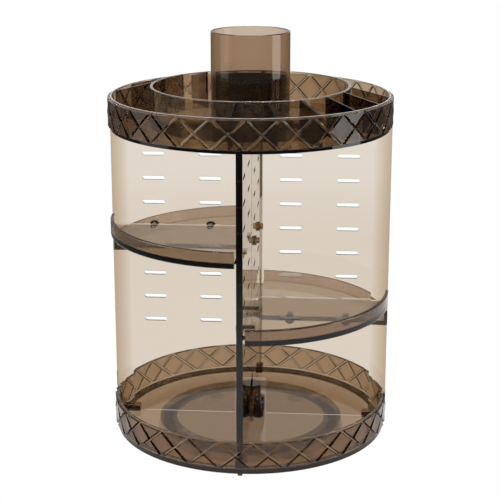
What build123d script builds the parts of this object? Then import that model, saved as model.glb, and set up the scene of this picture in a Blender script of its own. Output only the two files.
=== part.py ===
from build123d import *
import os
from math import cos, degrees, hypot, pi, radians, sin, tan

# A rotating makeup organizer in smoked clear plastic. Millimetres, +Z up, with the origin on the
# table under the middle of the turntable. The four panels stand along X and Y, the front faces -Y.

# Clearances
running_clearance = 0.06
moving_gap = 0.3
seat_gap = 0.2
cut_overrun = 1.0

# Trays with a faceted rim
rim_radius = 115.0
rim_wall = 1.5
rim_lip = 0.8
rim_lip_round = 0.7
facet_count = 28
facet_rise = 1.9
facet_bevel = 0.7
facet_bevel_depth = 1.2
facet_root = 0.9
facet_gap = 1.5
tray_floor_thickness = 2.5
bottom_rim_height = 27.0
bottom_rim_skirt = 2.45
bottom_rim_band = 5.0
bottom_facet_turn = 4.6
rim_bead_width = 5.0
rim_stub_width = 3.6
rim_stub_length = 3.0
rim_stub_height = 1.6
top_rim_height = 26.5
top_rim_band = 2.4
top_facet_turn = 2.2

# Turntable base
foot_count = 6
foot_diameter = 12.0
foot_height = 1.2
foot_inset = 8.0
base_plate_thickness = 2.5
base_edge_margin = 1.5
base_edge_chamfer = 0.8
base_ring_height = 1.7

# Ball race
ball_count = 12
ball_diameter = 4.0
ball_gap = 0.2
ball_circle_radius = 70.0
groove_half_angle = 60.0
race_width = 14.0
race_web = 2.0
cage_width = 8.0
cage_thickness = 1.0

# Pivot
pivot_diameter = 6.0
pivot_head_diameter = 10.0
pivot_head_height = 3.0
pivot_head_chamfer = 0.8
pivot_key_width = 4.0
pivot_key_depth = 1.6
pivot_boss_diameter = 18.0
washer_diameter = 13.0
washer_thickness = 1.0

# Hub
hub_flange_height = 12.7
hub_lobe_count = 4
hub_lobe_circle_radius = 10.6
hub_lobe_diameter = 8.4
hub_tube_diameter = 17.5
hub_tube_height = 14.0
hub_wall = 1.4
hub_top_chamfer = 0.8

# Panels
panel_count = 4
panel_height = 249.05
panel_foot_gap = 0.1
panel_thickness = 2.0
panel_edge_thickness = 5.0
panel_flare_length = 14.0
panel_inset = 0.9
hub_notch_radius = 13.3
hub_notch_height = 31.7
slot_length = 18.3
slot_height = 3.2
slot_row_spacing = 20.3
slot_inner_radius = 33.0
slot_outer_radius = 79.7
lowest_slot_height = 83.0
slot_top_margin = 22.0
slot_play = 0.3

# Guides for the panels' lower ends, and the grooves above their upper ends
guide_length = 14.5
guide_end_gap = 1.8
guide_width = 8.0
guide_height = 5.0
seat_groove_depth = 1.0

# Quarter shelves
shelf_inset = 0.5
shelf_floor_thickness = 4.0
shelf_floor_rise = 1.7
shelf_rim_height = 8.8
shelf_rim_wall = 2.4
shelf_rim_round = 1.0
shelf_corner_gap = 1.5
shelf_inner_round = 9.0
hook_width = 4.5
hook_reach = 2.5
hook_finger_thickness = 1.6
boss_diameter = 6.0
boss_end = 1.0

# Plugs
plug_flange_diameter = 8.2
plug_flange_thickness = 2.0
plug_nub_diameter = 5.0
plug_nub_length = 2.5
plug_depth = 7.0

# Divider ring of the top tray
ring_diameter = 161.0
ring_wall = 2.5
ring_height = 30.7
ring_lip_round = 0.8
divider_thickness = 1.8
divider_turn = -94.0
quarter_count = 4
lipstick_quarters = (0, 2)
lipstick_slot_count = 5

# Brush cup
cup_diameter = 63.4
cup_height = 73.55
cup_wall = 2.2
cup_floor = 3.0
cup_bottom_chamfer = 2.0
cup_lip_round = 0.9
cup_seat_wall = 2.0
cup_seat_height = 3.0

# Heights of the turntable, from the table up
base_plate_top = foot_height + base_plate_thickness
base_ring_top = base_plate_top + base_ring_height
ball_height = base_plate_top + ball_gap + ball_diameter / 2
cage_bottom = base_ring_top + moving_gap
race_bottom = cage_bottom + cage_thickness + moving_gap
groove_depth = (ball_diameter / 2 + ball_gap) / sin(radians(groove_half_angle))
bottom_floor_under = ball_height + groove_depth + race_web
race_height = bottom_floor_under - race_bottom

# Heights of the trays and panels
bottom_floor_top = bottom_floor_under + tray_floor_thickness
bottom_rim_bottom = bottom_floor_under - bottom_rim_skirt
bottom_rim_top = bottom_rim_bottom + bottom_rim_height
top_floor_under = bottom_floor_top + panel_height
top_floor_top = top_floor_under + tray_floor_thickness
top_rim_top = top_floor_under + top_rim_height

# Radii of the turntable, the trays and the panels
race_outer_radius = ball_circle_radius + race_width / 2
race_inner_radius = ball_circle_radius - race_width / 2
base_radius = race_outer_radius + base_edge_margin
foot_circle_radius = base_radius - foot_inset
facet_angle = pi / facet_count
facet_face_radius = rim_radius * cos(facet_angle)
rim_wall_radius = facet_face_radius - facet_rise
rim_inner_radius = rim_wall_radius - rim_wall
panel_side = panel_thickness / 2
panel_reach = rim_radius - panel_inset
panel_inner_edge = panel_side + seat_gap
flare_start = panel_reach - panel_flare_length
guide_end_radius = rim_inner_radius - guide_end_gap

# Slots and the pieces that pass through them
slot_row_count = 1 + int((panel_height - lowest_slot_height - slot_top_margin) / slot_row_spacing)
slot_rise = (slot_row_count - 1) * slot_row_spacing
lowest_slot = bottom_floor_top + lowest_slot_height
slot_radii = (slot_inner_radius, slot_outer_radius)
slot_fill = slot_height - 2 * slot_play
shelf_radius = rim_radius - shelf_inset
shelf_side = panel_side + seat_gap

# Each place has the turn of its shelf about Z and its row of slots, counted from the lowest
shelf_places = {
    "back_right": (0, 0),
    "back_left": (90, 3),
    "front_left": (180, 4),
    "front_right": (270, 1),
}
panel_turns = {"right": 0, "back": 90, "left": 180, "front": 270}

os.makedirs("parts", exist_ok=True)


def panel_outline(margin):
    """Plan of the panel along +X, thicker by the margin on each face, flared at its outer edge."""
    side = panel_side + margin
    edge = panel_edge_thickness / 2 + margin
    with BuildSketch() as outline:
        with BuildLine():
            Polyline(
                (panel_inner_edge, side),
                (flare_start, side),
                (panel_reach, edge),
                (panel_reach, -edge),
                (flare_start, -side),
                (panel_inner_edge, -side),
                close=True,
            )
        make_face()
    return outline.sketch


def bevelled_plate(levels, middle):
    """Plate on the wall at +X, lofted from its root in the wall over its shoulder to its smaller face."""
    with BuildPart() as plate:
        for radius, outline in levels:
            with BuildSketch(Plane((radius, 0, middle), x_dir=(0, 1, 0), z_dir=(1, 0, 0))):
                with BuildLine():
                    Polyline(*outline, close=True)
                make_face()
        loft(ruled=True)
    return plate.part


def faceted_wall(bottom, height, band, turn):
    """Wall of a tray: a plain band, then a lattice of bevelled diamonds with half ones along its edges."""
    lattice_height = height - band - rim_lip
    middle = bottom + band + lattice_height / 2
    root_radius = rim_wall_radius - facet_root
    half_width = root_radius * tan(facet_angle) - facet_gap / 2
    half_height = lattice_height / 2 - facet_gap / 2
    slant = hypot(half_width, half_height)
    levels = {"whole": [], "upper": [], "lower": []}
    for radius, inset in (
        (root_radius, 0),
        (facet_face_radius - facet_bevel_depth, 0),
        (facet_face_radius, facet_bevel),
    ):
        across = half_width - inset * slant / half_height
        along = half_height - inset * slant / half_width
        tip = half_height - along + facet_gap / 2
        wide = across - half_width * facet_gap / 2 / half_height
        levels["whole"].append((radius, [(across, 0), (0, along), (-across, 0), (0, -along)]))
        levels["upper"].append((radius, [(0, tip), (wide, half_height), (-wide, half_height)]))
        levels["lower"].append((radius, [(0, -tip), (-wide, -half_height), (wide, -half_height)]))
    plates = {name: bevelled_plate(of_plate, middle) for name, of_plate in levels.items()}
    with BuildPart() as wall:
        with BuildSketch(Plane.XY.offset(bottom)):
            Circle(rim_wall_radius)
            Circle(rim_inner_radius, mode=Mode.SUBTRACT)
        extrude(amount=height)
        with PolarLocations(0, facet_count, start_angle=turn):
            add(plates["whole"])
        with PolarLocations(0, facet_count, start_angle=turn + degrees(facet_angle)):
            add(plates["upper"])
            add(plates["lower"])
    return wall.part


def ball_groove():
    """Ring with a diamond section, whose lower and upper V leave the balls their gap."""
    groove_reach = groove_depth * tan(radians(groove_half_angle))
    with BuildPart() as groove:
        with BuildSketch(Plane.XZ):
            with BuildLine():
                Polyline(
                    (ball_circle_radius + groove_reach, ball_height),
                    (ball_circle_radius, ball_height + groove_depth),
                    (ball_circle_radius - groove_reach, ball_height),
                    (ball_circle_radius, ball_height - groove_depth),
                    close=True,
                )
            make_face()
        revolve(axis=Axis.Z)
    return groove.part


# Turntable base: a plate with a ball race near its edge and a boss for the pivot
race_groove = ball_groove()

with BuildPart() as base_disc:
    with BuildSketch(Plane.XY.offset(foot_height)):
        Circle(base_radius)
    extrude(amount=base_plate_thickness)
    chamfer(base_disc.edges().group_by(Axis.Z)[-1], base_edge_chamfer)
    with BuildSketch(Plane.XY.offset(base_plate_top)):
        Circle(race_outer_radius)
        Circle(race_inner_radius, mode=Mode.SUBTRACT)
    extrude(amount=base_ring_height)
    with BuildSketch(Plane.XY.offset(base_plate_top)):
        Circle(pivot_boss_diameter / 2)
    extrude(amount=bottom_floor_under - moving_gap - base_plate_top)
    add(race_groove, mode=Mode.SUBTRACT)
    with Locations((0, 0, bottom_floor_under)):
        Hole(pivot_diameter / 2, depth=bottom_floor_under - base_plate_top)
base_disc.part.label = "base_disc"
export_step(base_disc.part, "parts/base_disc.step")

with BuildPart() as base_feet:
    with BuildSketch():
        with PolarLocations(foot_circle_radius, foot_count):
            Circle(foot_diameter / 2)
    extrude(amount=foot_height)
base_feet.part.label = "base_feet"
export_step(base_feet.part, "parts/base_feet.step")

# Pivot screw through the tray floor into the base, with a washer under its head
washer_bottom = bottom_floor_top + moving_gap
pivot_head_bottom = washer_bottom + washer_thickness
pivot_head_top = pivot_head_bottom + pivot_head_height

with BuildPart() as pivot_screw:
    with BuildSketch(Plane.XY.offset(base_plate_top)):
        Circle(pivot_diameter / 2)
    extrude(amount=pivot_head_bottom - base_plate_top)
    with BuildSketch(Plane.XY.offset(pivot_head_bottom)):
        Circle(pivot_head_diameter / 2)
    extrude(amount=pivot_head_height)
    chamfer(pivot_screw.edges().group_by(Axis.Z)[-1], pivot_head_chamfer)
    with BuildSketch(Plane.XY.offset(pivot_head_top)):
        RegularPolygon(pivot_key_width / 2, 6, major_radius=False)
    extrude(amount=-pivot_key_depth, mode=Mode.SUBTRACT)
pivot_screw.part.label = "pivot_screw"
export_step(pivot_screw.part, "parts/pivot_screw.step")

with BuildPart() as pivot_washer:
    with BuildSketch(Plane.XY.offset(washer_bottom)):
        Circle(washer_diameter / 2)
        Circle(pivot_diameter / 2 + running_clearance, mode=Mode.SUBTRACT)
    extrude(amount=washer_thickness)
pivot_washer.part.label = "pivot_washer"
export_step(pivot_washer.part, "parts/pivot_washer.step")

# Balls in their cage, between the base and the race under the tray
with BuildPart() as bearing_balls:
    with Locations((0, 0, ball_height)):
        with PolarLocations(ball_circle_radius, ball_count):
            Sphere(ball_diameter / 2)
bearing_balls.part.label = "bearing_balls"
export_step(bearing_balls.part, "parts/bearing_balls.step")

with BuildPart() as ball_cage:
    with BuildSketch(Plane.XY.offset(cage_bottom)):
        Circle(ball_circle_radius + cage_width / 2)
        Circle(ball_circle_radius - cage_width / 2, mode=Mode.SUBTRACT)
        with PolarLocations(ball_circle_radius, ball_count):
            Circle(ball_diameter / 2 + ball_gap, mode=Mode.SUBTRACT)
    extrude(amount=cage_thickness)
ball_cage.part.label = "ball_cage"
export_step(ball_cage.part, "parts/ball_cage.step")

with BuildPart() as upper_race:
    with BuildSketch(Plane.XY.offset(race_bottom)):
        Circle(race_outer_radius)
        Circle(race_inner_radius, mode=Mode.SUBTRACT)
    extrude(amount=race_height)
    add(race_groove, mode=Mode.SUBTRACT)
upper_race.part.label = "upper_race"
export_step(upper_race.part, "parts/upper_race.step")

# Bottom tray: a bead with four stubs under the rim, and guides on the floor for the four panels
bottom_wall = faceted_wall(bottom_rim_bottom, bottom_rim_height, bottom_rim_band, bottom_facet_turn)
guide_cut = panel_outline(seat_gap)

with BuildPart() as bottom_tray:
    add(bottom_wall)
    with BuildSketch(Plane.XY.offset(bottom_floor_under)):
        Circle(rim_inner_radius + rim_wall / 2)
        Circle(pivot_diameter / 2 + running_clearance, mode=Mode.SUBTRACT)
    extrude(amount=tray_floor_thickness)
    with BuildSketch(Plane.XY.offset(bottom_rim_bottom)):
        Circle(rim_inner_radius + rim_wall / 2)
        Circle(rim_inner_radius - rim_bead_width, mode=Mode.SUBTRACT)
    extrude(amount=bottom_rim_skirt)
    with BuildSketch(Plane.XY.offset(bottom_rim_bottom)):
        with PolarLocations(rim_wall_radius - rim_stub_length / 2, panel_count):
            Rectangle(rim_stub_length, rim_stub_width)
    extrude(amount=-rim_stub_height)
    with BuildSketch(Plane.XY.offset(bottom_floor_top)):
        with PolarLocations(guide_end_radius - guide_length / 2, panel_count):
            Rectangle(guide_length, guide_width)
        with PolarLocations(0, panel_count):
            add(guide_cut, mode=Mode.SUBTRACT)
    extrude(amount=guide_height)
    rim_edges = bottom_tray.edges().filter_by(GeomType.CIRCLE)
    fillet(rim_edges.group_by(Axis.Z)[-1], rim_lip_round)
bottom_tray.part.label = "bottom_tray"
export_step(bottom_tray.part, "parts/bottom_tray.step")

# Hub on the tray floor: four lobes between the panels under a capped tube that covers the pivot
with BuildPart() as center_hub:
    with BuildSketch(Plane.XY.offset(bottom_floor_top)):
        Circle(hub_tube_diameter / 2)
        with PolarLocations(hub_lobe_circle_radius, hub_lobe_count, start_angle=180 / hub_lobe_count):
            Circle(hub_lobe_diameter / 2)
    extrude(amount=hub_flange_height)
    with BuildSketch(Plane.XY.offset(bottom_floor_top + hub_flange_height)):
        Circle(hub_tube_diameter / 2)
    extrude(amount=hub_tube_height)
    chamfer(center_hub.edges().group_by(Axis.Z)[-1], hub_top_chamfer)
    with BuildSketch(Plane.XY.offset(bottom_floor_top)):
        Circle(hub_tube_diameter / 2 - hub_wall)
    extrude(amount=hub_flange_height + hub_tube_height - hub_wall, mode=Mode.SUBTRACT)
center_hub.part.label = "center_hub"
export_step(center_hub.part, "parts/center_hub.step")

# One panel along +X, then the four of them
panel_plan = panel_outline(0)
rim_notch_radius = rim_inner_radius - seat_gap
rim_notch_depth = panel_reach + cut_overrun - rim_notch_radius
hub_notch_depth = hub_notch_radius - panel_inner_edge + cut_overrun

with BuildPart() as panel:
    with BuildSketch(Plane.XY.offset(bottom_floor_top + panel_foot_gap)):
        add(panel_plan)
    extrude(amount=panel_height + seat_groove_depth - panel_foot_gap)
    with BuildSketch(Plane.XZ):
        with Locations((rim_notch_radius, bottom_rim_top)):
            Rectangle(rim_notch_depth, bottom_rim_height, align=(Align.MIN, Align.MAX))
        with Locations((rim_notch_radius, top_floor_under)):
            Rectangle(rim_notch_depth, top_rim_height, align=(Align.MIN, Align.MIN))
        with Locations((hub_notch_radius, bottom_floor_top)):
            Rectangle(hub_notch_depth, 2 * hub_notch_height, align=(Align.MAX, Align.CENTER))
        with Locations(((slot_inner_radius + slot_outer_radius) / 2, lowest_slot + slot_rise / 2)):
            with GridLocations(slot_outer_radius - slot_inner_radius, slot_row_spacing, 2, slot_row_count):
                SlotOverall(slot_length, slot_height)
    extrude(amount=panel_edge_thickness, both=True, mode=Mode.SUBTRACT)

for side, turn in panel_turns.items():
    with BuildPart() as side_panel:
        with Locations(Location((0, 0, 0), (0, 0, turn))):
            add(panel.part)
    side_panel.part.label = f"{side}_panel"
    export_step(side_panel.part, f"parts/{side}_panel.step")

# One quarter shelf between the panels along +X and +Y, at the height of its row of slots
corner_cut_start = flare_start - seat_gap
corner_cut_length = shelf_radius - corner_cut_start + cut_overrun
corner_cut_depth = panel_edge_thickness / 2 + shelf_corner_gap
hook_far_side = panel_side + seat_gap + hook_finger_thickness
hook_length = hook_far_side + shelf_side + boss_end
boss_length = plug_depth + seat_gap + boss_end

with BuildPart() as shelf:
    with BuildSketch(Plane.XY.offset(shelf_floor_rise - shelf_floor_thickness)) as shelf_plan:
        Circle(shelf_radius)
        Circle(shelf_inner_round, mode=Mode.SUBTRACT)
        with Locations((shelf_side, shelf_side)):
            Rectangle(shelf_radius, shelf_radius, align=(Align.MIN, Align.MIN), mode=Mode.INTERSECT)
        with Locations((corner_cut_start, 0)):
            Rectangle(
                corner_cut_length, corner_cut_depth, align=(Align.MIN, Align.MIN), mode=Mode.SUBTRACT
            )
        with Locations((0, corner_cut_start)):
            Rectangle(
                corner_cut_depth, corner_cut_length, align=(Align.MIN, Align.MIN), mode=Mode.SUBTRACT
            )
    extrude(amount=shelf_floor_thickness)
    with BuildSketch(Plane.XY.offset(shelf_floor_rise)):
        Circle(shelf_radius)
        Circle(shelf_radius - shelf_rim_wall, mode=Mode.SUBTRACT)
        add(shelf_plan.sketch_local, mode=Mode.INTERSECT)
    extrude(amount=shelf_rim_height)
    outer_edges = shelf.edges().filter_by(lambda e: e.geom_type == GeomType.CIRCLE)
    fillet(outer_edges.filter_by(lambda e: e.radius > shelf_radius - shelf_rim_wall / 2), shelf_rim_round)
    # Two hooks through the slots of the panel along +Y, their fingers towards the middle
    with BuildSketch(Plane.XY.offset(-slot_fill / 2)):
        for radius in slot_radii:
            slot_end = radius - slot_length / 2
            hook_start = slot_end + slot_height / 2
            with Locations((-hook_far_side, hook_start)):
                Rectangle(hook_length, hook_width, align=(Align.MIN, Align.MIN))
            with Locations((-hook_far_side, slot_end - hook_reach)):
                Rectangle(
                    hook_finger_thickness,
                    hook_start + hook_width - slot_end + hook_reach,
                    align=(Align.MIN, Align.MIN),
                )
    extrude(amount=slot_fill)
    # Two bosses with sockets for the plugs that come through the panel along +X
    with BuildSketch(Plane.XZ.offset(-shelf_side)):
        for radius in slot_radii:
            with Locations((radius, 0)):
                Circle(boss_diameter / 2)
    extrude(amount=-boss_length)
    with BuildSketch(Plane.XZ.offset(-shelf_side)):
        for radius in slot_radii:
            with Locations((radius, 0)):
                Circle(slot_fill / 2 + running_clearance)
    extrude(amount=-(plug_depth + seat_gap), mode=Mode.SUBTRACT)

# The two plugs of a shelf: a shank through the slot, a flange on the panel's far face, a grip nub
with BuildPart() as plug_pair:
    with BuildSketch(Plane.XZ.offset(panel_side)):
        for radius in slot_radii:
            with Locations((radius, 0)):
                Circle(plug_flange_diameter / 2)
    extrude(amount=plug_flange_thickness)
    with BuildSketch(Plane.XZ.offset(panel_side + plug_flange_thickness)):
        for radius in slot_radii:
            with Locations((radius, 0)):
                Circle(plug_nub_diameter / 2)
    extrude(amount=plug_nub_length)
    with BuildSketch(Plane.XZ.offset(panel_side)):
        for radius in slot_radii:
            with Locations((radius, 0)):
                Circle(slot_fill / 2)
    extrude(amount=-(panel_side + shelf_side + plug_depth))

for place, (turn, row) in shelf_places.items():
    seat = Location((0, 0, lowest_slot + row * slot_row_spacing), (0, 0, turn))
    with BuildPart() as placed_shelf:
        with Locations(seat):
            add(shelf.part)
    placed_shelf.part.label = f"{place}_shelf"
    export_step(placed_shelf.part, f"parts/{place}_shelf.step")
    with BuildPart() as placed_plugs:
        with Locations(seat):
            add(plug_pair.part)
    placed_plugs.part.label = f"{place}_plugs"
    export_step(placed_plugs.part, f"parts/{place}_plugs.step")

# Top tray, with grooves under its floor for the panels and a seat on it for the cup
top_wall = faceted_wall(top_floor_under, top_rim_height, top_rim_band, top_facet_turn)

with BuildPart() as top_tray:
    add(top_wall)
    with BuildSketch(Plane.XY.offset(top_floor_under)):
        Circle(rim_inner_radius + rim_wall / 2)
    extrude(amount=tray_floor_thickness)
    with BuildSketch(Plane.XY.offset(top_floor_top)):
        Circle(cup_diameter / 2 + moving_gap + cup_seat_wall)
        Circle(cup_diameter / 2 + moving_gap, mode=Mode.SUBTRACT)
    extrude(amount=cup_seat_height)
    with BuildSketch(Plane.XY.offset(top_floor_under)):
        Rectangle(2 * panel_inner_edge, 2 * panel_inner_edge)
        with PolarLocations(0, panel_count):
            add(guide_cut)
        Circle(rim_inner_radius, mode=Mode.INTERSECT)
    extrude(amount=seat_groove_depth, mode=Mode.SUBTRACT)
    rim_edges = top_tray.edges().filter_by(GeomType.CIRCLE)
    fillet(rim_edges.group_by(Axis.Z)[-1], rim_lip_round)
top_tray.part.label = "top_tray"
export_step(top_tray.part, "parts/top_tray.step")

# Divider ring on the floor of the top tray: four quarters, one of them split into lipstick slots
ring_radius = ring_diameter / 2
ring_top = top_floor_top + ring_height
divider_start = ring_radius - ring_wall / 2
divider_end = rim_inner_radius - seat_gap
divider_end_top = top_rim_top - rim_lip_round
quarter_turn = 360 / quarter_count
lipstick_turn = quarter_turn / lipstick_slot_count

with BuildPart() as divider:
    with BuildSketch(Plane.XZ):
        with BuildLine():
            Polyline(
                (divider_start, top_floor_top),
                (divider_end, top_floor_top),
                (divider_end, divider_end_top),
                (ring_radius, ring_top),
                (divider_start, ring_top),
                close=True,
            )
        make_face()
    extrude(amount=divider_thickness / 2, both=True)

with BuildPart() as divider_ring:
    with BuildSketch(Plane.XY.offset(top_floor_top)):
        Circle(ring_radius)
        Circle(ring_radius - ring_wall, mode=Mode.SUBTRACT)
    extrude(amount=ring_height)
    fillet(divider_ring.edges().group_by(Axis.Z)[-1], ring_lip_round)
    with PolarLocations(0, quarter_count, start_angle=divider_turn):
        add(divider.part)
    for quarter in lipstick_quarters:
        for slot in range(1, lipstick_slot_count):
            turn = divider_turn + quarter * quarter_turn + slot * lipstick_turn
            with Locations(Location((0, 0, 0), (0, 0, turn))):
                add(divider.part)
divider_ring.part.label = "divider_ring"
export_step(divider_ring.part, "parts/divider_ring.step")

# Brush cup, loose in its seat
with BuildPart() as brush_cup:
    with BuildSketch(Plane.XY.offset(top_floor_top + seat_gap)):
        Circle(cup_diameter / 2)
    extrude(amount=cup_height)
    chamfer(brush_cup.edges().group_by(Axis.Z)[0], cup_bottom_chamfer)
    with BuildSketch(Plane.XY.offset(top_floor_top + seat_gap + cup_floor)):
        Circle(cup_diameter / 2 - cup_wall)
    extrude(amount=cup_height, mode=Mode.SUBTRACT)
    fillet(brush_cup.edges().group_by(Axis.Z)[-1], cup_lip_round)
brush_cup.part.label = "brush_cup"
export_step(brush_cup.part, "parts/brush_cup.step")
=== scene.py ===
# %% [markdown]
# # A rotating makeup organizer in smoked clear plastic
#
# The organizer turns on a base: two trays with faceted rims, four slotted panels in a cross, four
# quarter shelves, a ring of dividers and a brush cup. Their shapes come from a solid model, which is
# loaded here as a fixed frame at its real size, so nothing is modelled twice. This lesson gives the
# shapes their finish. Nearly everything is one clear brown plastic, so the light that passes through it
# matters more than the light that falls on it.

# %% Load the solid model
import math
from collections import namedtuple

import bpy
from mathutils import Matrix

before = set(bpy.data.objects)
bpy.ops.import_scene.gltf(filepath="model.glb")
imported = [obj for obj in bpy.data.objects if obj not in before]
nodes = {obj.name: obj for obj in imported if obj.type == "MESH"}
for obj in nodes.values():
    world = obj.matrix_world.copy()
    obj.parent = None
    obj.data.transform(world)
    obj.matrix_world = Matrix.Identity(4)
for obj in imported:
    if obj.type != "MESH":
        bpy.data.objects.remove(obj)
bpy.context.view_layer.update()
scene = bpy.context.scene
bpy.ops.object.select_all(action="DESELECT")

# %% [markdown]
# ## The camera
#
# A product picture is taken from some way off with a long lens, so that upright edges stay nearly
# parallel. A wide lens close by would show the same pieces, but the trays would bulge. The camera stands
# a little to the right of the front panel and looks down on the trays.

# %% Camera
camera_distance = 1.0966
camera_height = 0.4713
camera_azimuth = math.radians(4.2)
camera_pitch = math.radians(15.97)
camera_lens = 99.19
camera_sensor = 36.0
camera_shift = -0.001

bpy.ops.object.camera_add(
    location=(
        camera_distance * math.sin(camera_azimuth),
        -camera_distance * math.cos(camera_azimuth),
        camera_height,
    ),
    rotation=(math.radians(90) - camera_pitch, 0, camera_azimuth),
)
camera = bpy.context.object
camera.name = "photo_camera"
camera.data.lens = camera_lens
camera.data.sensor_width = camera_sensor
camera.data.shift_x = camera_shift
scene.camera = camera
print("camera at", tuple(round(part, 3) for part in camera.location))

# %% [markdown]
# ## Shader maths in plain Python
#
# A finish that changes with height or distance needs sums on sockets. They could be drawn as boxes and
# wires, but a formula is easier to read. One small class wraps an output socket, and each operator on it
# adds a Math node. The reflected forms let a plain number stand first, as in 1 - mask.


# %% Socket maths
class Value:
    """A number on an output socket, which Python's operators extend with Math nodes."""

    def __init__(self, tree, socket):
        self.tree = tree
        self.socket = socket

    def maths(self, operation, *terms):
        """Add one Math node on these terms, each of them a Value or a plain number."""
        node = self.tree.nodes.new("ShaderNodeMath")
        node.operation = operation
        for place, term in enumerate(terms):
            if isinstance(term, Value):
                self.tree.links.new(term.socket, node.inputs[place])
            else:
                node.inputs[place].default_value = term
        return Value(self.tree, node.outputs[0])

    def __add__(self, other):
        return self.maths("ADD", self, other)

    __radd__ = __add__

    def __sub__(self, other):
        return self.maths("SUBTRACT", self, other)

    def __rsub__(self, other):
        return self.maths("SUBTRACT", other, self)

    def __mul__(self, other):
        return self.maths("MULTIPLY", self, other)

    __rmul__ = __mul__

    def __abs__(self):
        return self.maths("ABSOLUTE", self)

    def __gt__(self, limit):
        return self.maths("GREATER_THAN", self, limit)

    def __lt__(self, limit):
        return self.maths("LESS_THAN", self, limit)

    def maximum(self, other):
        return self.maths("MAXIMUM", self, other)


print("a Value takes + - * < > abs and maximum")

# %% [markdown]
# ## Adding any other node
#
# Every other node is added in the same three steps: its type, its settings, then the numbers or links of
# its sockets. One method does that, so each material below reads as a list of what it is made of. The
# mixes and the smooth fade come up so often that they get short names of their own.


# %% Node trees
class Tree:
    """A node tree, emptied, with one method that adds any node."""

    def __init__(self, tree):
        self.tree = tree
        tree.nodes.clear()

    def node(self, kind, settings=None, sockets=None):
        """Add a node of this type, set it up, then fill or link its sockets by name or number."""
        node = self.tree.nodes.new(kind)
        for name, setting in (settings or {}).items():
            if name == "stops":
                self.set_stops(node.color_ramp.elements, setting)
            else:
                setattr(node, name, setting)
        for name, value in (sockets or {}).items():
            if isinstance(value, Value):
                value = value.socket
            if isinstance(value, bpy.types.NodeSocket):
                self.tree.links.new(value, node.inputs[name])
            else:
                node.inputs[name].default_value = value
        return node

    def set_stops(self, elements, stops):
        """Give a colour ramp these stops, each a position and a colour, in rising order."""
        while len(elements) < len(stops):
            elements.new(0.5)
        for element, (position, colour) in zip(elements, stops):
            element.position = position
            element.color = (*colour, 1)

    def value(self, node, output):
        return Value(self.tree, node.outputs[output])

    def mix_colours(self, mask, first, second):
        """The first colour where the mask is 0, the second where it is 1."""
        sockets = {"Factor": mask, 6: first, 7: second}
        return self.node("ShaderNodeMix", {"data_type": "RGBA"}, sockets).outputs[2]

    def dim_colour(self, colour, level):
        """A colour times a number."""
        settings = {"data_type": "RGBA", "blend_type": "MULTIPLY"}
        return self.node("ShaderNodeMix", settings, {"Factor": 1.0, 6: colour, 7: level}).outputs[2]

    def mix_shaders(self, mask, first, second):
        """The first shader where the mask is 0, the second where it is 1."""
        return self.node("ShaderNodeMixShader", None, {"Fac": mask, 1: first, 2: second}).outputs[0]

    def fade(self, number, limits, levels):
        """A number that eases from the first level to the second between two limits."""
        sockets = {"Value": number}
        sockets.update(zip(("From Min", "From Max"), limits))
        sockets.update(zip(("To Min", "To Max"), levels))
        return self.value(
            self.node("ShaderNodeMapRange", {"interpolation_type": "SMOOTHSTEP"}, sockets), "Result"
        )


def new_material(name):
    material = bpy.data.materials.new(name)
    material.use_nodes = True
    return material, Tree(material.node_tree)


print("a Tree adds nodes, mixes and fades")

# %% [markdown]
# ## Smoked clear plastic: the surface
#
# The real pieces are moulded in polished steel tools, so they are glossy, with a faint ripple where the
# plastic cooled and fine wear from handling. A perfect mirror finish would look like cut glass, so two
# noises on Object coordinates move the normal and the roughness a little. The coordinates are the
# object's own, so the pattern stays on a piece when it turns.

# %% Polished surface
plastic_ior = 1.5
polish_roughness = 0.015
wear_roughness = 0.02
wear_scale = 140.0
ripple_scale = 18.0
ripple_strength = 0.02
ripple_depth = 0.001


def polished_surface(tree, place, colour):
    """A clear refracting surface whose colour is one colour or the end of a chain of mixes."""
    ripple = tree.node(
        "ShaderNodeTexNoise", None, {"Vector": place, "Scale": ripple_scale, "Detail": 2.0, "Roughness": 0.4}
    )
    wear = tree.node(
        "ShaderNodeTexNoise", None, {"Vector": place, "Scale": wear_scale, "Detail": 4.0, "Roughness": 0.6}
    )
    bump = tree.node(
        "ShaderNodeBump",
        None,
        {"Strength": ripple_strength, "Distance": ripple_depth, "Height": ripple.outputs["Fac"]},
    )
    sockets = {
        "Base Color": colour,
        "Roughness": tree.value(wear, "Fac") * wear_roughness + polish_roughness,
        "IOR": plastic_ior,
        "Transmission Weight": 1.0,
        "Normal": bump.outputs["Normal"],
    }
    return tree.node("ShaderNodeBsdfPrincipled", None, sockets).outputs["BSDF"]


print("surface: index", plastic_ior, "roughness from", polish_roughness)

# %% [markdown]
# ## Smoked clear plastic: the depth
#
# A brown painted on the surface would look the same through a thin panel and along a thick rim. Real
# smoked plastic takes light away all along its path, so a panel is pale on its face and almost black
# when it is seen edge on. The colour is therefore a volume inside the piece. It absorbs blue most and
# red least, by so much for each metre of path.

# %% Brown depth
absorption_per_metre = (118.0, 165.0, 231.0)
density_headroom = 1.1


def brown_depth(tree, strength):
    """Absorption inside a piece. It is the same all through, so its sockets hold plain numbers."""
    density = max(absorption_per_metre) * strength * density_headroom
    passed = [1 - amount * strength / density for amount in absorption_per_metre]
    return tree.node(
        "ShaderNodeVolumeAbsorption", None, {"Color": (*passed, 1), "Density": density}
    ).outputs["Volume"]


path_length = 0.002
passed_shares = [round(math.exp(-amount * path_length), 2) for amount in absorption_per_metre]
print("light that passes a panel of 2 mm", passed_shares)
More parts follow.
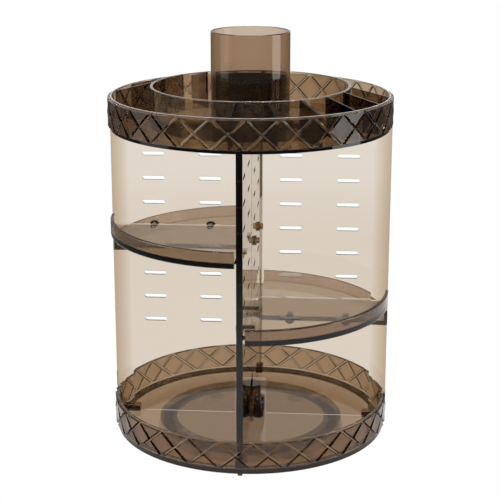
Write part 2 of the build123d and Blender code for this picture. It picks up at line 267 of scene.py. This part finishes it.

# %% [markdown]
# ## Smoked clear plastic: tints, painted shade and painted highlights
#
# Some places differ from the rest. The lower edges of the trays look black, because their corners throw the
# light back inside; that darkness is painted shade, a near-black tint on the surface. The upper lips and the
# grooves between the facets draw light lines; these are painted highlights, pale matt bands that the lamps
# light. Some outer faces are tinted darker as well. Each could be a material of its own on its own faces,
# but a moulding is one piece of plastic. So one material changes with the height and with the distance from
# the turning axis: a tint colours the surface, and a painted highlight makes part of it pale and matt.

# %% Smoked plastic
# a tint under a height and beyond a radius, either a plain darker tone or painted shade; a painted highlight
# above a height and between two radii
Skin = namedtuple("Skin", "below beyond colour")
PaintedHighlight = namedtuple("PaintedHighlight", "above beyond within amount")
# the pale colour of the painted highlight bands
painted_highlight_colour = (0.82, 0.74, 0.66, 1)


def painted_highlight_surface(tree):
    """A pale matt surface for painted highlights, which scatters half of the light back and lets half of it
    glow through.
    """
    matt = tree.node("ShaderNodeBsdfDiffuse", None, {"Color": painted_highlight_colour})
    glow = tree.node("ShaderNodeBsdfTranslucent", None, {"Color": painted_highlight_colour})
    return tree.mix_shaders(0.5, matt.outputs[0], glow.outputs[0])


def smoked_plastic(name, strength, tint=(1, 1, 1), tones_and_shade=(), painted_highlights=()):
    """Clear plastic with a brown depth; strength scales how much light each millimetre takes.

    The tint colours the whole surface. Under a height and beyond a radius it can take another tint, either a
    plain darker tone or near-black painted shade. Above a height and between two radii a share of it is made
    pale and matt, as a painted highlight.
    """
    material, tree = new_material(name)
    place = tree.node("ShaderNodeTexCoord").outputs["Object"]
    parts = tree.node("ShaderNodeSeparateXYZ", None, {"Vector": place})
    x, y, z = (tree.value(parts, axis) for axis in "XYZ")
    reach = x * x + y * y
    colour = (*tint, 1)
    for tone_or_shade in tones_and_shade:
        covered = (z < tone_or_shade.below) * (reach > tone_or_shade.beyond**2)
        colour = tree.mix_colours(covered, colour, (*tone_or_shade.colour, 1))
    look = polished_surface(tree, place, colour)
    for painted_highlight in painted_highlights:
        band = (z > painted_highlight.above) * (reach > painted_highlight.beyond**2) * (reach < painted_highlight.within**2)
        look = tree.mix_shaders(band * painted_highlight.amount, look, painted_highlight_surface(tree))
    tree.node("ShaderNodeOutputMaterial", None, {"Surface": look, "Volume": brown_depth(tree, strength)})
    return material


print("a skin has", Skin._fields, "and a frost has", PaintedHighlight._fields)

# %% [markdown]
# ## The plastic of each moulding
#
# All the pieces are the same plastic, but light reaches them in different ways, and the depth's strength
# makes up for that. The shelves are thick and still look pale, so theirs is weak. The cup is seen through
# two walls and the hub is a small block that should stay dark, so theirs is strong.

# %% Panels, plugs, cup and hub
panel_plastic = smoked_plastic("panel_plastic", 1.0)
plug_plastic = smoked_plastic("plug_plastic", 1.6)
cup_plastic = smoked_plastic("cup_plastic", 2.0, tint=(0.96, 0.95, 1.0))
hub_plastic = smoked_plastic("hub_plastic", 4.5)
plain_plastics = (panel_plastic, plug_plastic, cup_plastic, hub_plastic)
print("made", [material.name for material in plain_plastics])

# %% [markdown]
# ## The trays, the ring and the shelves
#
# The faceted rims are the showpiece of the organizer: flat diamonds that stand proud of a thin wall, with
# grooves between them. A painted highlight on the wall's own radius reaches the grooves, so that they draw
# light lines, and leaves the diamonds polished. Heights are measured from the table and radii from the
# turning axis, in metres.

# %% Trays, ring and shelves
any_height = 1.0
bottom_edge_height = 0.0117
top_edge_height = 0.2643
top_lip_height = 0.2883
ring_lip_height = 0.295
groove_start = 0.111
groove_end = 0.1129
past_the_rim = 0.12
# near black, the painted shade of the trays' lower edges
painted_edge_shade = (0.06, 0.045, 0.035)

# bottom tray: painted shade on its lower edge, painted highlight lines in its grooves
bottom_plastic = smoked_plastic(
    "bottom_plastic",
    1.5,
    tones_and_shade=(
        Skin(below=any_height, beyond=0.1105, colour=(0.9, 0.85, 0.81)),
        Skin(below=bottom_edge_height, beyond=0.105, colour=painted_edge_shade),
    ),
    painted_highlights=(PaintedHighlight(above=bottom_edge_height, beyond=groove_start, within=groove_end, amount=0.14),),
)
# top tray: painted shade on its lower edge, painted highlights in its grooves and on its upper lip
top_plastic = smoked_plastic(
    "top_plastic",
    1.6,
    tones_and_shade=(Skin(below=top_edge_height, beyond=0.1115, colour=painted_edge_shade),),
    painted_highlights=(
        PaintedHighlight(above=top_edge_height, beyond=groove_start, within=groove_end, amount=0.15),
        PaintedHighlight(above=top_lip_height, beyond=0.1, within=past_the_rim, amount=0.6),
    ),
)
# ring: a darker tone on its outer face, a painted highlight on its upper lip
ring_plastic = smoked_plastic(
    "ring_plastic",
    1.5,
    tones_and_shade=(Skin(below=any_height, beyond=0.0812, colour=(0.32, 0.26, 0.22)),),
    painted_highlights=(PaintedHighlight(above=ring_lip_height, beyond=0.07, within=past_the_rim, amount=0.25),),
)
shelf_plastic = smoked_plastic(
    "shelf_plastic", 0.65, tones_and_shade=(Skin(below=any_height, beyond=0.1103, colour=(0.6, 0.51, 0.45)),)
)
rim_plastics = (bottom_plastic, top_plastic, ring_plastic, shelf_plastic)
print("made", [material.name for material in rim_plastics])

# %% [markdown]
# ## The turntable's plain finishes
#
# Under the bottom tray lie a base, a ball race and soft feet. On the real object they show only as a pale
# disc with a darker ring, seen through the floor of the tray. Opaque paint would make that disc far too
# dark, so the base, the cage and the feet are partly see-through, which an alpha below 1 gives without
# more refraction. The balls, the screw and its washer are steel. A fine mottle keeps all of them from
# looking like flat paint.

# %% Plain finishes
mottle_scale = 220.0
mottle_shade_share = 0.8
mottle_roughness = 0.12
smoke_brown = (0.62, 0.5, 0.4)


def plain_material(name, colour, roughness, metallic, alpha=1.0):
    """A finish with a fine mottle in its colour and gloss, see-through below an alpha of 1."""
    material, tree = new_material(name)
    place = tree.node("ShaderNodeTexCoord").outputs["Object"]
    mottle = tree.node(
        "ShaderNodeTexNoise", None, {"Vector": place, "Scale": mottle_scale, "Detail": 5.0, "Roughness": 0.6}
    )
    darker = [mottle_shade_share * part for part in colour]
    sockets = {
        "Base Color": tree.mix_colours(mottle.outputs["Fac"], (*darker, 1), (*colour, 1)),
        "Roughness": tree.value(mottle, "Fac") * mottle_roughness + roughness,
        "Metallic": metallic,
        "Alpha": alpha,
    }
    surface = tree.node("ShaderNodeBsdfPrincipled", None, sockets).outputs["BSDF"]
    tree.node("ShaderNodeOutputMaterial", None, {"Surface": surface})
    return material


base_plastic = plain_material("base_plastic", smoke_brown, 0.3, 0.0, 0.2)
cage_plastic = plain_material("cage_plastic", smoke_brown, 0.45, 0.0, 0.4)
ball_steel = plain_material("ball_steel", (0.75, 0.75, 0.77), 0.12, 1.0)
screw_steel = plain_material("screw_steel", (0.62, 0.62, 0.64), 0.25, 1.0)
foot_rubber = plain_material("foot_rubber", (0.5, 0.42, 0.35), 0.6, 0.0, 0.35)
turntable_finishes = (base_plastic, cage_plastic, ball_steel, screw_steel, foot_rubber)
print("made", [material.name for material in turntable_finishes])

# %% [markdown]
# ## Dress the solid pieces
#
# Each piece of the organizer is one moulding or one turned part, so it takes one material. The shapes stay
# as they were loaded: only the material slots of the nodes are filled. A table from node to finish is
# easier to check than a line for each piece.

# %% Dress the solid pieces
finishes = {
    "bottom_tray": bottom_plastic,
    "top_tray": top_plastic,
    "divider_ring": ring_plastic,
    "brush_cup": cup_plastic,
    "center_hub": hub_plastic,
    "base_disc": base_plastic,
    "upper_race": base_plastic,
    "ball_cage": cage_plastic,
    "bearing_balls": ball_steel,
    "pivot_screw": screw_steel,
    "pivot_washer": screw_steel,
    "base_feet": foot_rubber,
}
for side in ("front", "back", "left", "right"):
    finishes[f"{side}_panel"] = panel_plastic
for quarter in ("front_left", "front_right", "back_left", "back_right"):
    finishes[f"{quarter}_shelf"] = shelf_plastic
    finishes[f"{quarter}_plugs"] = plug_plastic

for name, material in finishes.items():
    slots = nodes[name].data.materials
    slots.clear()
    slots.append(material)
print("dressed", len(finishes), "of", len(nodes), "nodes")

# %% [markdown]
# ## The floor
#
# The picture has a white ground. To the camera the floor is plain white, by its Light Path. Clear plastic
# shows whatever lies behind it, so the rays that pass through it or bounce off it need a floor too: white
# far away, with a painted shadow of the organizer that is a little darker near it and brown right under it.
# It takes the object's soft shadow from the lamps for all other rays.

# %% Floor
floor_size = 12.0
bpy.ops.mesh.primitive_plane_add(size=floor_size, location=(0, 0, 0))
floor = bpy.context.object
floor.name = "floor"
floor_material, tree = new_material("pale_floor")
floor.data.materials.append(floor_material)
print("floor of", floor_size, "metres")

# %% [markdown]
# A studio keeps dark cards beside the set, out of the picture, and their reflections give clear plastic its
# dark, crisp sides. Cards could stand here as planes, but they would show in other views. Instead the floor
# is dark at some distance for mirrored rays alone. A lane behind the organizer stays bright, because the
# panel there is seen at a grazing angle and mirrors it.

# %% What the plastic sees of the floor
# painted shadow of the organizer: the floor's colour set by the distance from the turning axis
painted_shadow_stops = (
    (0.10, (0.60, 0.50, 0.42)),
    (0.14, (0.91, 0.88, 0.85)),
    (0.60, (0.91, 0.88, 0.85)),
    (1.00, (1.00, 1.00, 1.00)),
)
card_distances = (0.3, 0.8)
card_levels = (1.0, 0.1)
lane_half_width = 0.2

rays = tree.node("ShaderNodeLightPath")
place = tree.node("ShaderNodeTexCoord").outputs["Object"]
distance = tree.node("ShaderNodeVectorMath", {"operation": "LENGTH"}, {"Vector": place}).outputs["Value"]
shade = tree.node("ShaderNodeValToRGB", {"stops": painted_shadow_stops}, {"Fac": distance}).outputs["Color"]
spot = tree.node("ShaderNodeSeparateXYZ", None, {"Vector": place})
lane = (tree.value(spot, "Y") > 0.0) * (abs(tree.value(spot, "X")) < lane_half_width)
cards = tree.fade(distance, card_distances, card_levels)
mirrored = tree.value(rays, "Is Reflection Ray")
level = 1 - mirrored * (1 - lane) * (1 - cards)
seen_floor = tree.dim_colour(shade, level)
print("floor seen through the plastic from", painted_shadow_stops[0][1], "to", painted_shadow_stops[-1][1])

# %% [markdown]
# The three looks of the floor now meet in two mixes. First come the rays that are neither mirrored nor
# passed through, which find a matt pale floor, and then the camera's own rays, which find plain white.

# %% Join the floor's looks
floor_grey = (0.8, 0.8, 0.8, 1)
plain_white = (1, 1, 1, 1)

matt = tree.node("ShaderNodeBsdfDiffuse", None, {"Color": floor_grey})
shaded = tree.node("ShaderNodeEmission", None, {"Color": seen_floor, "Strength": 1.0})
white = tree.node("ShaderNodeEmission", None, {"Color": plain_white, "Strength": 1.0})
clear_ray = tree.value(rays, "Is Transmission Ray").maximum(tree.value(rays, "Is Glossy Ray"))
look = tree.mix_shaders(clear_ray, matt.outputs[0], shaded.outputs[0])
look = tree.mix_shaders(tree.value(rays, "Is Camera Ray"), look, white.outputs[0])
tree.node("ShaderNodeOutputMaterial", None, {"Surface": look})
print("floor material has", len(tree.tree.nodes), "nodes")

# %% [markdown]
# ## The world
#
# Above the floor the camera sees white. In the plastic an all-white sky would wash every edge out, so for
# clear rays the sky is grey near the horizon and nearly black overhead, as a studio's ceiling is. All
# other rays get an even, dim light that fills the shadows.

# %% World
fill_strength = 0.6
ceiling_heights = (0.4, 0.7)
ceiling_levels = (0.65, 0.08)

world = bpy.data.worlds.new("studio")
scene.world = world
world.use_nodes = True
tree = Tree(world.node_tree)
rays = tree.node("ShaderNodeLightPath")
direction = tree.node("ShaderNodeTexCoord").outputs["Generated"]
upward = tree.node("ShaderNodeSeparateXYZ", None, {"Vector": direction}).outputs["Z"]
camera_ray = tree.value(rays, "Is Camera Ray")
clear_ray = tree.value(rays, "Is Transmission Ray").maximum(tree.value(rays, "Is Glossy Ray"))
sky_level = camera_ray.maximum(clear_ray * tree.fade(upward, ceiling_heights, ceiling_levels))
fill = tree.node("ShaderNodeBackground", None, {"Color": plain_white, "Strength": fill_strength})
sky = tree.node("ShaderNodeBackground", None, {"Color": sky_level, "Strength": 1.0})
look = tree.mix_shaders(camera_ray.maximum(clear_ray), fill.outputs[0], sky.outputs[0])
tree.node("ShaderNodeOutputWorld", None, {"Surface": look})
print("world has", len(tree.tree.nodes), "nodes")

# %% [markdown]
# ## The lamps
#
# Soft boxes are the usual lamps for glossy products, because their reflections are broad and even. One
# stands at each side and gives the facets their sheen, the right one stronger. A large one above lights
# the upper lips. Rays that pass through the plastic don't see that one, or it would show as a white patch
# in the cup.


# %% Soft boxes
def soft_box(name, location, target, size, power):
    """A rectangular lamp that faces the target point."""
    bpy.ops.object.light_add(type="AREA", location=location)
    lamp = bpy.context.object
    lamp.name = name
    lamp.data.shape = "RECTANGLE"
    lamp.data.size, lamp.data.size_y = size
    lamp.data.energy = power
    aim = [to - at for at, to in zip(location, target)]
    flat = math.hypot(aim[0], aim[1])
    lamp.rotation_euler = (math.atan2(flat, -aim[2]), 0, math.atan2(-aim[0], aim[1]))
    return lamp


middle = (0, 0, 0.2)
side_size = (0.6, 0.8)
top_size = (0.9, 0.9)
left_box = soft_box("left_box", (-1.03, -0.25, 0.42), middle, side_size, 1.0)
right_box = soft_box("right_box", (1.04, -0.1, 0.42), middle, side_size, 3.4)
top_box = soft_box("top_box", (0, 0.2, 1.6), middle, top_size, 30.0)
top_box.visible_transmission = False
print("lamps in watts", {lamp.name: round(lamp.data.energy, 1) for lamp in (left_box, right_box, top_box)})

# %% [markdown]
# ## Bounces
#
# Each wall of clear plastic costs a ray two bounces. With many bounces every layer would stay see-through.
# In the real picture the light runs out where many walls overlap, as at the foot of the cup and in the
# upper rim, and those places go nearly black. A low limit gives that look, and short renders too.

# %% View and bounces
scene.view_settings.view_transform = "Standard"
bounces = {"max_bounces": 8, "transmission_bounces": 6, "glossy_bounces": 4, "diffuse_bounces": 4}
for kind, count in bounces.items():
    setattr(scene.cycles, kind, count)
print("bounces", bounces)
